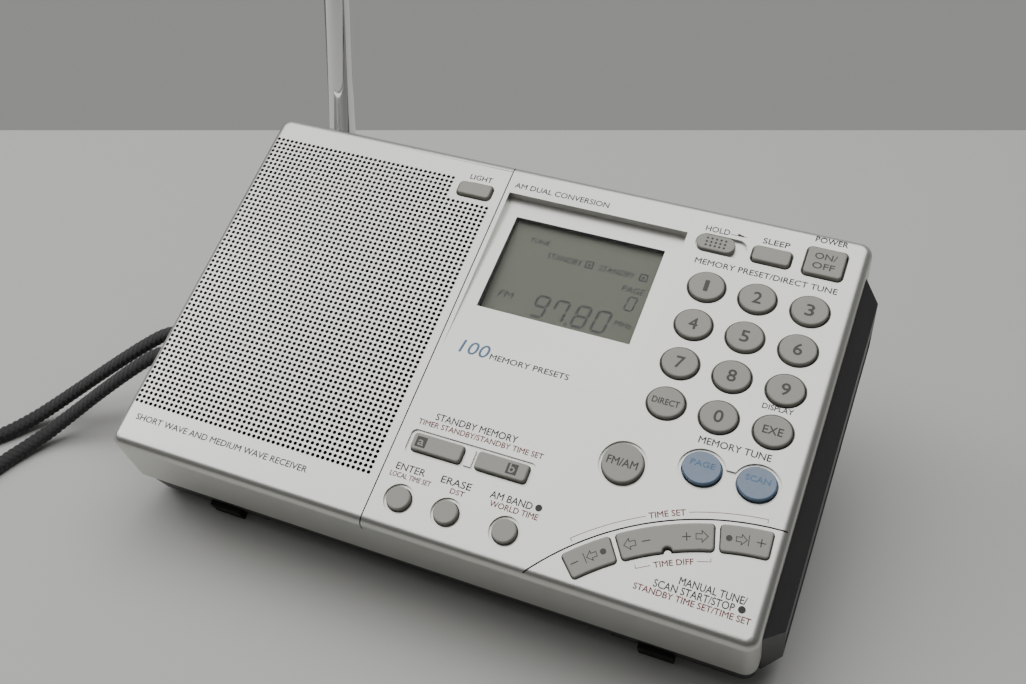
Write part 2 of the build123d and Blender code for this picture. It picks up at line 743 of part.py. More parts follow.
def strap_tube():
    points = [Vector(*point) for point in strap_points]
    radii = []
    for before, here, after in zip(points, points[1:], points[2:]):
        turn = (here - before).get_angle(after - here)
        run = min((here - before).length, (after - here).length)
        radii.append(0.45 * run / math.tan(math.radians(turn / 2)))
    print("strap radii", [round(radius, 1) for radius in radii])
    path = FilletPolyline(*points, radius=radii)
    print("strap length", round(path.length, 1))
    start = Plane(origin=points[0], z_dir=points[1] - points[0])
    return sweep(start * Circle(strap_diameter / 2), path=path)


def assembly():
    shell = front_shell()
    pieces = {
        "speaker_grille": speaker_grille(shell),
        "control_panel": control_panel(shell),
        "rear_cabinet": rear_cabinet(),
        "rear_feet": rear_feet(),
        "side_cover": side_cover(),
        "battery_door": battery_door(),
        "stand": stand(),
        "case_screws": case_screws(),
        "display_window": display_window(),
        "lcd_module": lcd_module(),
        "key_mat": key_mat(),
        "main_board": main_board(),
        "ferrite_antenna": ferrite_antenna(),
        "speaker_frame": speaker_frame(),
        "speaker_cone": speaker_cone(),
        "batteries": batteries(),
        "battery_contacts": battery_contacts(),
        "jack_sockets": jack_sockets(),
        "strap_anchor": strap_anchor(),
        "hold_switch": hold_switch(),
        "antenna_base": antenna_base(),
    }
    for name, shape in panel_keys().items():
        pieces[name] = push_key(*shape)
    for name, (start, end) in arc_keys.items():
        pieces[name] = arc_key(start, end, 0.5 if name == "tune_rocker" else 0)
    for name, y in wheels.items():
        pieces[name] = thumb_wheel(y)
    for name, y in side_switches.items():
        pieces[name] = slide_knob(y)
    for number in range(antenna_sections):
        pieces["antenna_section_%d" % (number + 1)] = antenna_section(number)
    return pieces


def placed(pieces):
    # lean the case back about the line of its feet, then centre the model on its base
    contact = Vector(0, foot_low, -foot_proud).rotate(Axis.X, lean)
    leaned = Pos(0, -contact.Y, -contact.Z) * Rot(lean, 0, 0)
    stood = {}
    for name, piece in pieces.items():
        group = piece if isinstance(piece, list) else [piece]
        stood[name] = [leaned * solid for shape in group for solid in shape.solids()]
    box = Compound([solid for group in stood.values() for solid in group]).bounding_box()
    centre = Pos(-box.center().X, -box.center().Y, -box.min.Z)
    stood["hand_strap"] = strap_tube().solids()
    print("centre shift", centre.position, "lowest", box.min.Z, "stand length", stand_length)
    return {name: [centre * solid for solid in group] for name, group in stood.items()}


os.makedirs("parts", exist_ok=True)
for name, solids in placed(assembly()).items():
    export_step(Compound(solids), "parts/%s.step" % name)
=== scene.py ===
import json
import math
import bmesh
import bpy
from mathutils import Euler, Matrix, Vector


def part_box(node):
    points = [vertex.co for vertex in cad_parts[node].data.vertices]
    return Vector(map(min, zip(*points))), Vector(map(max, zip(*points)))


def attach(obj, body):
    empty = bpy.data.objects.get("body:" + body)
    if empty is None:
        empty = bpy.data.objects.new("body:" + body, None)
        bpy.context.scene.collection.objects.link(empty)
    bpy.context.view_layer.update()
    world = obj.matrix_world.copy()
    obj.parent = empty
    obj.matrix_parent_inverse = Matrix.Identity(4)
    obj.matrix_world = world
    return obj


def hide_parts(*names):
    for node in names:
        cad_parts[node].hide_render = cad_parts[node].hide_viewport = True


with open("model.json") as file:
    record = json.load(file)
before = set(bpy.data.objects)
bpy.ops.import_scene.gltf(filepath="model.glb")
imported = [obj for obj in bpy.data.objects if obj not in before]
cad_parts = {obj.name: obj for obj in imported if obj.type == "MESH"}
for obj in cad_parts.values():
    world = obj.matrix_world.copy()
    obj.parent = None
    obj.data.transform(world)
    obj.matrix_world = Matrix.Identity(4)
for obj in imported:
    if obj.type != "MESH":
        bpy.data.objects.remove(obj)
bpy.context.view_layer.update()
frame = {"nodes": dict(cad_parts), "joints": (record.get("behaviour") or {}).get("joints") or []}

nodes = frame["nodes"]
joints = {joint["name"]: joint for joint in frame["joints"]}
mm = 0.001

# Case: drawn on its back, X right, Y from the lower edge up, Z out of the face, in millimetres
case = {
    "halfWidth": 93.3, "height": 117.6, "face": 34.5, "wall": 2.0, "frontDepth": 21.0,
    "flareLeft": 0.8, "flareBottom": 1.4, "corner": 3.6, "seam": -13.1,
    "hinge": (0, 76.0, 1.6), "footLine": (0, -1.5, -0.8),
}
press = joints["key_5_press"]["axis"]
lean = math.atan2(press[1], -press[2])
turn = Matrix.Rotation(lean, 4, "X")
shift = Vector(joints["stand_fold"]["pos_m"]) - turn.to_3x3() @ (Vector(case["hinge"]) * mm)
caseMatrix = Matrix.Translation(shift) @ turn @ Matrix.Scale(mm, 4)
toCase = caseMatrix.inverted()
print("frame loaded, case leans", round(math.degrees(lean), 1))

# Camera: its place is in the case's own millimetres, its angles are degrees from the room's level and +Y
camera = {"place": (108.38, -68.50, 325.29), "lens": 42.43, "lookDown": 38.93, "lookLeft": 22.87}
cameraData = bpy.data.cameras.new("camera")
cameraData.lens = camera["lens"]
cameraData.sensor_width = 36
cameraData.clip_start = 0.01
cameraObject = bpy.data.objects.new("camera", cameraData)
bpy.context.scene.collection.objects.link(cameraObject)
cameraObject.location = caseMatrix @ Vector(camera["place"])
cameraTilt = math.radians(90 - camera["lookDown"])
cameraObject.rotation_euler = Euler((cameraTilt, 0, math.radians(camera["lookLeft"])))
bpy.context.scene.camera = cameraObject


def addObject(name, mesh, materials=()):
    piece = bpy.data.objects.new(name, mesh)
    bpy.context.scene.collection.objects.link(piece)
    for material in materials:
        mesh.materials.append(material)
    return piece


def evaluatedMesh(piece):
    return bpy.data.meshes.new_from_object(piece.evaluated_get(bpy.context.evaluated_depsgraph_get()))


def ridesOn(piece, body, slotName, *replaced):
    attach(piece, body)
    if replaced:
        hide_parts(*replaced)
    return piece


def startGroup(name, inputs, outputs):
    group = bpy.data.node_groups.new(name, "ShaderNodeTree")
    for label, value in inputs:
        socket = group.interface.new_socket(name=label, in_out="INPUT", socket_type="NodeSocketFloat")
        socket.default_value = value
    for label, kind in outputs:
        group.interface.new_socket(name=label, in_out="OUTPUT", socket_type=kind)
    return group, group.nodes.new("NodeGroupInput"), group.nodes.new("NodeGroupOutput")


def mathNode(tree, operation, first, second):
    node = tree.nodes.new("ShaderNodeMath")
    node.operation = operation
    for index, value in enumerate((first, second)):
        if isinstance(value, (int, float)):
            node.inputs[index].default_value = value
        else:
            tree.links.new(value, node.inputs[index])
    return node.outputs[0]


def makeGrainGroup():
    # fine and broad unevenness of a moulded or painted surface
    group, enter, leave = startGroup("surfaceGrain", [("Fine Scale", 3000.0), ("Broad Scale", 60.0)],
                                     [("Fine", "NodeSocketFloat"), ("Broad", "NodeSocketFloat")])
    place = group.nodes.new("ShaderNodeTexCoord")
    for label, detail in (("Fine", 3.0), ("Broad", 4.0)):
        noise = group.nodes.new("ShaderNodeTexNoise")
        noise.inputs["Detail"].default_value = detail
        group.links.new(place.outputs["Object"], noise.inputs["Vector"])
        group.links.new(enter.outputs[label + " Scale"], noise.inputs["Scale"])
        group.links.new(noise.outputs["Fac"], leave.inputs[label])
    return group


dustLook = {"speckSize": 0.09, "patchAbove": 0.56, "haze": 0.35, "filmScale": 45.0, "leastUpward": 0.15,
            "color": (0.5, 0.48, 0.44)}


def makeDustGroup():
    # specks and a thin film of dust, thicker on what faces up
    group, enter, leave = startGroup("dustFilm", [("Speck Scale", 900.0), ("Amount", 0.3)],
                                     [("Mask", "NodeSocketFloat")])
    place = group.nodes.new("ShaderNodeTexCoord")
    specks = group.nodes.new("ShaderNodeTexVoronoi")
    specks.inputs["Randomness"].default_value = 1.0
    group.links.new(place.outputs["Object"], specks.inputs["Vector"])
    group.links.new(enter.outputs["Speck Scale"], specks.inputs["Scale"])
    film = group.nodes.new("ShaderNodeTexNoise")
    film.inputs["Scale"].default_value = dustLook["filmScale"]
    film.inputs["Detail"].default_value = 6.0
    group.links.new(place.outputs["Object"], film.inputs["Vector"])
    near = mathNode(group, "LESS_THAN", specks.outputs["Distance"], dustLook["speckSize"])
    patch = mathNode(group, "GREATER_THAN", film.outputs["Fac"], dustLook["patchAbove"])
    speck = mathNode(group, "MULTIPLY", near, patch)
    haze = mathNode(group, "MULTIPLY", film.outputs["Fac"], dustLook["haze"])
    both = mathNode(group, "ADD", speck, haze)
    geometry = group.nodes.new("ShaderNodeNewGeometry")
    split = group.nodes.new("ShaderNodeSeparateXYZ")
    group.links.new(geometry.outputs["Normal"], split.inputs[0])
    upward = mathNode(group, "MAXIMUM", split.outputs["Z"], dustLook["leastUpward"])
    settled = mathNode(group, "MULTIPLY", both, upward)
    group.links.new(mathNode(group, "MULTIPLY", settled, enter.outputs["Amount"]), leave.inputs["Mask"])
    return group


grainGroup = makeGrainGroup()
dustGroup = makeDustGroup()


def startMaterial(name):
    material = bpy.data.materials.new(name)
    material.use_nodes = True
    return material, material.node_tree, material.node_tree.nodes["Principled BSDF"]


def placeGroup(tree, group, values):
    node = tree.nodes.new("ShaderNodeGroup")
    node.node_tree = group
    for label, value in values.items():
        node.inputs[label].default_value = value
    return node


def mixColors(tree, factor, first, second):
    node = tree.nodes.new("ShaderNodeMix")
    node.data_type = "RGBA"
    tree.links.new(factor, node.inputs["Factor"])
    for label, value in (("A", first), ("B", second)):
        if isinstance(value, tuple):
            node.inputs[label].default_value = value + (1,)
        else:
            tree.links.new(value, node.inputs[label])
    return node.outputs["Result"]


def addRelief(tree, shader, height, depth):
    # bumps of a depth in millimetres, too fine to be modelled
    relief = tree.nodes.new("ShaderNodeBump")
    relief.inputs["Distance"].default_value = depth * mm
    tree.links.new(height, relief.inputs["Height"])
    tree.links.new(relief.outputs["Normal"], shader.inputs["Normal"])


def finishMaterial(name, color, roughness, metallic=0.0, fine=3000.0, broad=60.0, mottle=0.06,
                   roughSpread=0.1, bump=0.02, dust=0.1, **fixed):
    material, tree, shader = startMaterial(name)
    shader.inputs["Metallic"].default_value = metallic
    for label, value in fixed.items():
        shader.inputs[label.replace("_", " ")].default_value = value
    grain = placeGroup(tree, grainGroup, {"Fine Scale": fine, "Broad Scale": broad})
    film = placeGroup(tree, dustGroup, {"Amount": dust})
    darker = tuple(channel * (1 - mottle) for channel in color)
    lighter = tuple(min(channel * (1 + mottle), 1) for channel in color)
    halfFine = mathNode(tree, "MULTIPLY", grain.outputs["Fine"], 0.5)
    halfBroad = mathNode(tree, "MULTIPLY", grain.outputs["Broad"], 0.5)
    clean = mixColors(tree, mathNode(tree, "ADD", halfFine, halfBroad), darker, lighter)
    tree.links.new(mixColors(tree, film.outputs["Mask"], clean, dustLook["color"]),
                   shader.inputs["Base Color"])
    uneven = mathNode(tree, "MULTIPLY", grain.outputs["Fine"], roughSpread * 2)
    tree.links.new(mathNode(tree, "ADD", uneven, roughness - roughSpread), shader.inputs["Roughness"])
    addRelief(tree, shader, grain.outputs["Fine"], bump)
    return material


finishes = {
    "silverPaint": dict(color=(0.63, 0.63, 0.595), roughness=0.33, metallic=0.88, fine=5200, broad=25,
                        mottle=0.06, roughSpread=0.10, bump=0.014, dust=0.04),
    # dark plastic: the bare inside of the shells, and painted shade in grooves and hole walls
    "barePlasticAndPaintedShade": dict(color=(0.012, 0.012, 0.011), roughness=0.7, fine=2500, bump=0.03, dust=0.0),
    "blackCase": dict(color=(0.034, 0.034, 0.035), roughness=0.46, fine=2100, broad=80, mottle=0.25,
                      roughSpread=0.08, bump=0.06, dust=0.10),
    "blackKnob": dict(color=(0.018, 0.018, 0.019), roughness=0.45, fine=3200, bump=0.03, dust=0.12),
    "greyKey": dict(color=(0.38, 0.375, 0.335), roughness=0.42, fine=6500, broad=140, mottle=0.06,
                    roughSpread=0.08, bump=0.010, dust=0.10),
    "blueKey": dict(color=(0.12, 0.20, 0.32), roughness=0.25, fine=2600, broad=500, mottle=0.25,
                    roughSpread=0.05, bump=0.004, dust=0.05, Coat_Weight=1.0, Coat_Roughness=0.04),
    "lcdGlass": dict(color=(0.105, 0.115, 0.072), roughness=0.40, fine=7000, broad=30, mottle=0.05,
                     bump=0.002, dust=0.02),
    "chrome": dict(color=(0.82, 0.82, 0.83), roughness=0.06, metallic=1.0, fine=400, broad=60, mottle=0.03,
                   roughSpread=0.03, bump=0.0008, dust=0.03),
    "steel": dict(color=(0.50, 0.49, 0.47), roughness=0.35, metallic=1.0, fine=900, broad=120, mottle=0.1,
                  dust=0.1),
    "boardGreen": dict(color=(0.02, 0.12, 0.05), roughness=0.3, fine=1500, broad=200, mottle=0.3, dust=0.1),
    "keyRubber": dict(color=(0.18, 0.18, 0.19), roughness=0.7, fine=2500, dust=0.1),
    "speakerMetal": dict(color=(0.05, 0.05, 0.052), roughness=0.4, metallic=0.6, fine=1400, dust=0.1),
    "conePaper": dict(color=(0.02, 0.02, 0.02), roughness=0.85, fine=1800, mottle=0.3, bump=0.08, dust=0.1),
    "ferrite": dict(color=(0.05, 0.045, 0.045), roughness=0.5, fine=1200, mottle=0.2, dust=0.05),
    "cellSleeve": dict(color=(0.03, 0.05, 0.11), roughness=0.3, fine=1500, dust=0.0),
    "rubberFoot": dict(color=(0.010, 0.010, 0.010), roughness=0.75, fine=1700, bump=0.05, dust=0.15),
    "blackInk": dict(color=(0.018, 0.018, 0.020), roughness=0.5, fine=5000, bump=0.003, dust=0.0),
    "redInk": dict(color=(0.17, 0.022, 0.018), roughness=0.5, fine=5000, bump=0.003, dust=0.0),
    "blueInk": dict(color=(0.10, 0.20, 0.34), roughness=0.5, fine=5000, bump=0.003, dust=0.0),
    # key print, also used as painted shade in the dimples of the hold switch
    "keyInkAndDimpleShade": dict(color=(0.050, 0.049, 0.044), roughness=0.45, fine=5000, bump=0.003, dust=0.0),
    "lcdInk": dict(color=(0.012, 0.013, 0.010), roughness=0.45, fine=5000, bump=0.001, dust=0.0),
}
materials = {name: finishMaterial(name, **values) for name, values in finishes.items()}


window = {"color": (0.95, 0.96, 0.98), "slantPower": 4, "slantShine": 0.7, "plainShine": 0.008, "dust": 0.5,
          "roughness": 0.03}


def makeWindowMaterial():
    # clear plastic as a thin mirror, stronger at a slant, over what lies behind it
    material, tree, shader = startMaterial("clearWindow")
    shader.inputs["Base Color"].default_value = window["color"] + (1,)
    shader.inputs["Metallic"].default_value = 1.0
    edge = tree.nodes.new("ShaderNodeLayerWeight")
    slant = mathNode(tree, "POWER", edge.outputs["Facing"], window["slantPower"])
    shine = mathNode(tree, "MULTIPLY", slant, window["slantShine"])
    tree.links.new(mathNode(tree, "ADD", shine, window["plainShine"]), shader.inputs["Alpha"])
    film = placeGroup(tree, dustGroup, {"Amount": window["dust"]})
    tree.links.new(mathNode(tree, "ADD", film.outputs["Mask"], window["roughness"]),
                   shader.inputs["Roughness"])
    return material


braid = {"between": (0.004, 0.004, 0.0045), "yarn": (0.020, 0.020, 0.023), "bands": 1.6, "wander": 1.5,
         "fine": 4200, "relief": 0.08, "sheen": 0.25, "sheenRoughness": 0.5, "roughness": 0.55,
         "roughSpread": 0.2}


def makeBraidMaterial():
    # bands of fine yarn across the strap, darker between them as painted shade in the gaps, in the strap's
    # own map
    material, tree, shader = startMaterial("braidedNylon")
    shader.inputs["Sheen Weight"].default_value = braid["sheen"]
    shader.inputs["Sheen Roughness"].default_value = braid["sheenRoughness"]
    place = tree.nodes.new("ShaderNodeUVMap")
    place.uv_map = "along"
    yarn = tree.nodes.new("ShaderNodeTexWave")
    yarn.wave_type = "BANDS"
    yarn.inputs["Scale"].default_value = braid["bands"]
    yarn.inputs["Distortion"].default_value = braid["wander"]
    tree.links.new(place.outputs["UV"], yarn.inputs["Vector"])
    grain = placeGroup(tree, grainGroup, {"Fine Scale": braid["fine"]})
    shade = mathNode(tree, "MULTIPLY", yarn.outputs["Fac"], grain.outputs["Fine"])
    tree.links.new(mixColors(tree, shade, braid["between"], braid["yarn"]), shader.inputs["Base Color"])
    uneven = mathNode(tree, "MULTIPLY", grain.outputs["Fine"], braid["roughSpread"])
    tree.links.new(mathNode(tree, "ADD", uneven, braid["roughness"]), shader.inputs["Roughness"])
    addRelief(tree, shader, shade, braid["relief"])
    return material


materials["clearWindow"] = makeWindowMaterial()
materials["braidedNylon"] = makeBraidMaterial()
print("materials made:", len(materials))


# Hand strap: a flat braid; its points are millimetres from the middle of the feet, as in CAD,
# and it lies lower by the drop because it is thinner than the CAD tube
strap = {
    "width": 5.4, "thick": 3.4, "ribPitch": 1.9, "ribHeight": 0.17, "step": 0.24, "around": 22, "drop": 0.8,
    "crossings": 4, "flatSides": 0.8, "flatFaces": 0.9, "mapWidth": 0.6,
    "length": 0.284,
    "points": (
        (-94.6, 35.0, 29.1), (-101.0, 38.0, 30.4), (-109.5, 39.4, 29.4), (-119.0, 32.6, 23.6),
        (-129.8, 25.0, 15.6), (-138.5, 18.4, 9.0), (-146.5, 9.6, 3.6), (-152.6, -1.6, 2.4),
        (-163.0, -13.0, 2.4), (-178.0, -23.0, 2.4), (-187.0, -38.0, 2.4), (-182.0, -53.0, 2.4),
        (-166.0, -56.0, 2.4), (-152.0, -44.0, 2.4), (-146.5, -28.0, 2.4), (-143.8, -11.0, 2.4),
        (-138.6, 3.2, 3.6), (-131.6, 12.5, 9.2), (-122.6, 19.2, 17.0), (-113.5, 25.9, 24.2),
        (-107.5, 30.4, 28.0), (-101.5, 31.6, 28.0), (-94.6, 30.5, 27.0),
    ),
}
feetMiddle = caseMatrix @ Vector(case["footLine"])


def strapRoute():
    curve = bpy.data.curves.new("strapRoute", "CURVE")
    curve.dimensions = "3D"
    curve.resolution_u = 24
    spline = curve.splines.new("NURBS")
    spline.points.add(len(strap["points"]) - 1)
    for point, place in zip(spline.points, strap["points"]):
        here = feetMiddle + Vector(place) * mm
        point.co = (here.x, here.y, here.z, 1)
    spline.order_u = 3
    spline.use_endpoint_u = True
    holder = bpy.data.objects.new("strapRoute", curve)
    bpy.context.scene.collection.objects.link(holder)
    line = evaluatedMesh(holder)
    places = [vertex.co.copy() for vertex in line.vertices]
    bpy.data.objects.remove(holder)
    return places


def evenSteps(places, step):
    # the same line, at even steps along it
    marks = [0.0]
    for here, there in zip(places, places[1:]):
        marks.append(marks[-1] + (there - here).length)
    count = int(marks[-1] / step)
    found = []
    index = 0
    for number in range(count + 1):
        goal = marks[-1] * number / count
        while index < len(marks) - 2 and marks[index + 1] < goal:
            index += 1
        share = (goal - marks[index]) / max(marks[index + 1] - marks[index], 1e-9)
        found.append(places[index].lerp(places[index + 1], share))
    return found, marks[-1]


def flattened(value, power):
    return math.copysign(abs(value) ** power, value)


def makeStrap():
    line, length = evenSteps(strapRoute(), strap["step"] * mm)
    for place in line:
        place.z -= strap["drop"] * mm
    around = strap["around"]
    work = bmesh.new()
    layer = work.loops.layers.uv.new("along")
    rings = []
    for index, place in enumerate(line):
        ahead = (line[min(index + 1, len(line) - 1)] - line[max(index - 1, 0)]).normalized()
        side = ahead.cross(Vector((0, 0, 1))).normalized()
        up = side.cross(ahead)
        along = index * strap["step"]
        ring = []
        for corner in range(around):
            angle = 2 * math.pi * corner / around
            phase = 2 * math.pi * along / strap["ribPitch"]
            cross = strap["crossings"] * angle
            weave = max(math.sin(phase + cross), math.sin(phase - cross))
            swell = 1 + strap["ribHeight"] * weave / (strap["thick"] / 2)
            x = flattened(math.cos(angle), strap["flatSides"]) * (strap["width"] / 2 - 0.2) * swell
            y = flattened(math.sin(angle), strap["flatFaces"]) * (strap["thick"] / 2 - 0.1) * swell
            ring.append(work.verts.new(place + (side * x + up * y) * mm))
        rings.append(ring)
    for index, (here, there) in enumerate(zip(rings, rings[1:])):
        for corner in range(around):
            following = (corner + 1) % around
            face = work.faces.new((here[corner], here[following], there[following], there[corner]))
            face.smooth = True
            for loop, (row, column) in zip(face.loops, ((0, 0), (0, 1), (1, 1), (1, 0))):
                loop[layer].uv = ((index + row) * strap["step"], (corner + column) * strap["mapWidth"])
    work.faces.new(list(reversed(rings[0])))
    work.faces.new(rings[-1])
    bmesh.ops.recalc_face_normals(work, faces=work.faces)
    mesh = bpy.data.meshes.new("hand_strap_braid")
    work.to_mesh(mesh)
    work.free()
    piece = addObject("hand_strap_braid", mesh, [materials["braidedNylon"]])
    ridesOn(piece, "case", "braid", "hand_strap")
    print("strap made,", round(length, 4), "m along its route")


makeStrap()


# Front shells: the groove and the printed brackets run on arcs round one centre, with angles in degrees
arc = {"centre": (93.0, -44.0), "groove": 74.9, "keys": 70.1, "setRadius": 76.8, "setSpan": (94.5, 132.0),
       "setMiddle": 113.2,
       "diffRadius": 64.0, "diffSpan": (104.8, 121.4), "diffMiddle": 113.0}
recess = {"box": (-11.6, 54.3, 43.1, 108.0), "depth": 2.6}
# where the paint ends, and where grooves and hole walls get painted shade, as depths under the face and
# distances from an edge
paint = {"fit": 0.1, "border": 0.2, "borderDepth": 2.7, "groove": 0.3, "skin": 0.05, "seamDepth": 4.4,
         "innerSkin": 0.02, "rim": 0.3, "holeRim": 0.4, "holeDepth": 0.9}


def recessFloor(y):
    # the display recess runs out to nothing at its low end
    left, low, right, top = recess["box"]
    return case["face"] - recess["depth"] * max(y - low, 0) / (top - low)


def inRecessPaint(place, normal, drop):
    # sloping floor and edge of the display recess, which are painted
    left, low, right, top = recess["box"]
    fit = paint["fit"]
    if not (left - fit < place.x < right + fit and low < place.y < top + fit):
        return False
    onFloor = normal.z > 0.9 and abs(place.z - recessFloor(place.y)) < fit
    onBorder = min(place.x - left, right - place.x, top - place.y) < paint["border"]
    return onFloor or (onBorder and drop < paint["borderDepth"])


def isBareOrPaintedShade(place, normal):
    # inside of a shell: bare dark plastic, with no paint; grooves and walls of holes through it: the same
    # dark colour as painted shade
    drop = case["face"] - place.z
    share = drop / case["frontDepth"]
    acrossGap = min(place.x + case["halfWidth"] + case["flareLeft"] * share, case["halfWidth"] - place.x)
    alongGap = min(place.y + case["flareBottom"] * share, case["height"] - place.y)
    within = min(acrossGap, alongGap)
    corner = case["corner"]
    if acrossGap < corner and alongGap < corner:
        within = corner - math.hypot(corner - acrossGap, corner - alongGap)
    if inRecessPaint(place, normal, drop):
        return False
    fromArc = abs(math.hypot(place.x - arc["centre"][0], place.y - arc["centre"][1]) - arc["groove"])
    inSeam = abs(place.x - case["seam"]) < paint["groove"] and drop < paint["seamDepth"]
    grooveShade = drop > paint["skin"] and (fromArc < paint["groove"] or inSeam)
    inside = drop > case["wall"] + paint["innerSkin"] and within > paint["rim"]
    holeWallShade = within > paint["holeRim"] and abs(normal.z) < 0.5 and drop > paint["holeDepth"]
    return grooveShade or inside or holeWallShade


def paintShell(mesh):
    straight = toCase.to_3x3().normalized()
    for face in mesh.polygons:
        place = toCase @ face.center
        face.material_index = 1 if isBareOrPaintedShade(place, straight @ face.normal) else 0


grille = {"columns": 49, "rows": 62, "pitch": 1.555, "radius": 0.56, "left": -90.9, "low": 13.8,
          "skipColumns": 9, "skipRows": 5, "sides": 10, "depth": 6.0}


def inputSocket(tree, label, kind, value=None):
    socket = tree.interface.new_socket(name=label, in_out="INPUT", socket_type=kind)
    if value is not None:
        socket.default_value = value
    return socket.identifier


def greaterThan(tree, value, limit):
    node = tree.nodes.new("FunctionNodeCompare")
    node.data_type = "FLOAT"
    node.operation = "GREATER_THAN"
    tree.links.new(value, node.inputs[0])
    tree.links.new(limit, node.inputs[1])
    return node.outputs[0]


def makePerforationTree():
    tree = bpy.data.node_groups.new("grillePerforations", "GeometryNodeTree")
    sockets = {"Shell": inputSocket(tree, "Shell", "NodeSocketGeometry")}
    for label, value in (("Columns", grille["columns"]), ("Rows", grille["rows"]), ("Sides", grille["sides"]),
                         ("Skip Columns", grille["skipColumns"]), ("Skip Rows", grille["skipRows"])):
        sockets[label] = inputSocket(tree, label, "NodeSocketInt", value)
    for label, value in (("Pitch", grille["pitch"]), ("Radius", grille["radius"]), ("Left", grille["left"]),
                         ("Low", grille["low"]), ("Height", case["face"]), ("Depth", grille["depth"])):
        sockets[label] = inputSocket(tree, label, "NodeSocketFloat", value)
    sockets["Material"] = inputSocket(tree, "Material", "NodeSocketMaterial")
    tree.interface.new_socket(name="Shell", in_out="OUTPUT", socket_type="NodeSocketGeometry")
    enter = tree.nodes.new("NodeGroupInput").outputs
    leave = tree.nodes.new("NodeGroupOutput")
    link = tree.links.new
    grid = tree.nodes.new("GeometryNodeMeshGrid")
    link(enter["Columns"], grid.inputs["Vertices X"])
    link(enter["Rows"], grid.inputs["Vertices Y"])
    spanX = mathNode(tree, "MULTIPLY", mathNode(tree, "SUBTRACT", enter["Columns"], 1), enter["Pitch"])
    spanY = mathNode(tree, "MULTIPLY", mathNode(tree, "SUBTRACT", enter["Rows"], 1), enter["Pitch"])
    link(spanX, grid.inputs["Size X"])
    link(spanY, grid.inputs["Size Y"])
    place = tree.nodes.new("ShaderNodeCombineXYZ")
    link(mathNode(tree, "ADD", mathNode(tree, "MULTIPLY", spanX, 0.5), enter["Left"]), place.inputs["X"])
    link(mathNode(tree, "ADD", mathNode(tree, "MULTIPLY", spanY, 0.5), enter["Low"]), place.inputs["Y"])
    link(enter["Height"], place.inputs["Z"])
    moved = tree.nodes.new("GeometryNodeTransform")
    link(grid.outputs["Mesh"], moved.inputs["Geometry"])
    link(place.outputs[0], moved.inputs["Translation"])
    # the corner under the light key has no holes
    position = tree.nodes.new("GeometryNodeInputPosition")
    split = tree.nodes.new("ShaderNodeSeparateXYZ")
    link(position.outputs[0], split.inputs[0])
    keptX = mathNode(tree, "SUBTRACT", mathNode(tree, "SUBTRACT", enter["Columns"], enter["Skip Columns"]),
                     0.5)
    keptY = mathNode(tree, "SUBTRACT", mathNode(tree, "SUBTRACT", enter["Rows"], enter["Skip Rows"]), 0.5)
    limitX = mathNode(tree, "ADD", mathNode(tree, "MULTIPLY", keptX, enter["Pitch"]), enter["Left"])
    limitY = mathNode(tree, "ADD", mathNode(tree, "MULTIPLY", keptY, enter["Pitch"]), enter["Low"])
    both = tree.nodes.new("FunctionNodeBooleanMath")
    both.operation = "AND"
    link(greaterThan(tree, split.outputs["X"], limitX), both.inputs[0])
    link(greaterThan(tree, split.outputs["Y"], limitY), both.inputs[1])
    trimmed = tree.nodes.new("GeometryNodeDeleteGeometry")
    link(moved.outputs[0], trimmed.inputs["Geometry"])
    link(both.outputs[0], trimmed.inputs["Selection"])
    drill = tree.nodes.new("GeometryNodeMeshCylinder")
    drill.fill_type = "NGON"
    link(enter["Sides"], drill.inputs["Vertices"])
    link(enter["Radius"], drill.inputs["Radius"])
    link(enter["Depth"], drill.inputs["Depth"])
    drills = tree.nodes.new("GeometryNodeInstanceOnPoints")
    link(trimmed.outputs[0], drills.inputs["Points"])
    link(drill.outputs["Mesh"], drills.inputs["Instance"])
    solid = tree.nodes.new("GeometryNodeRealizeInstances")
    link(drills.outputs[0], solid.inputs[0])
    cut = tree.nodes.new("GeometryNodeMeshBoolean")
    cut.operation = "DIFFERENCE"
    cut.solver = "MANIFOLD"
    link(enter["Shell"], cut.inputs["Mesh 1"])
    link(solid.outputs[0], cut.inputs["Mesh 2"])
    painted = tree.nodes.new("GeometryNodeSetMaterial")
    link(cut.outputs["Mesh"], painted.inputs["Geometry"])
    link(enter["Material"], painted.inputs["Material"])
    link(painted.outputs[0], leave.inputs[0])
    return tree, sockets


def mergedCopy(node):
    # a closed copy of a CAD piece, in the case's own frame and millimetres
    mesh = nodes[node].data.copy()
    mesh.transform(toCase)
    work = bmesh.new()
    work.from_mesh(mesh)
    bmesh.ops.remove_doubles(work, verts=work.verts, dist=0.0008)
    clean = bpy.data.meshes.new(node + "_closed")
    work.to_mesh(clean)
    work.free()
    return clean


def smoothByAngle(mesh, degrees):
    for face in mesh.polygons:
        face.use_smooth = True
    mesh.set_sharp_from_angle(angle=math.radians(degrees))


def makeGrille():
    holder = addObject("grilleWork", mergedCopy("speaker_grille"))
    tree, sockets = makePerforationTree()
    modifier = holder.modifiers.new("perforations", "NODES")
    modifier.node_group = tree
    modifier[sockets["Material"]] = materials["silverPaint"]
    mesh = evaluatedMesh(holder)
    bpy.data.objects.remove(holder)
    mesh.transform(caseMatrix)
    mesh.materials.clear()
    smoothByAngle(mesh, 25)
    piece = addObject("speaker_grille_perforated", mesh, [materials["silverPaint"], materials["barePlasticAndPaintedShade"]])
    paintShell(mesh)
    even = piece.modifiers.new("even", "WEIGHTED_NORMAL")
    even.keep_sharp = True
    even.weight = 100
    ridesOn(piece, "case", "silver_shell", "speaker_grille")
    print("grille perforated,", len(mesh.polygons), "faces")


makeGrille()


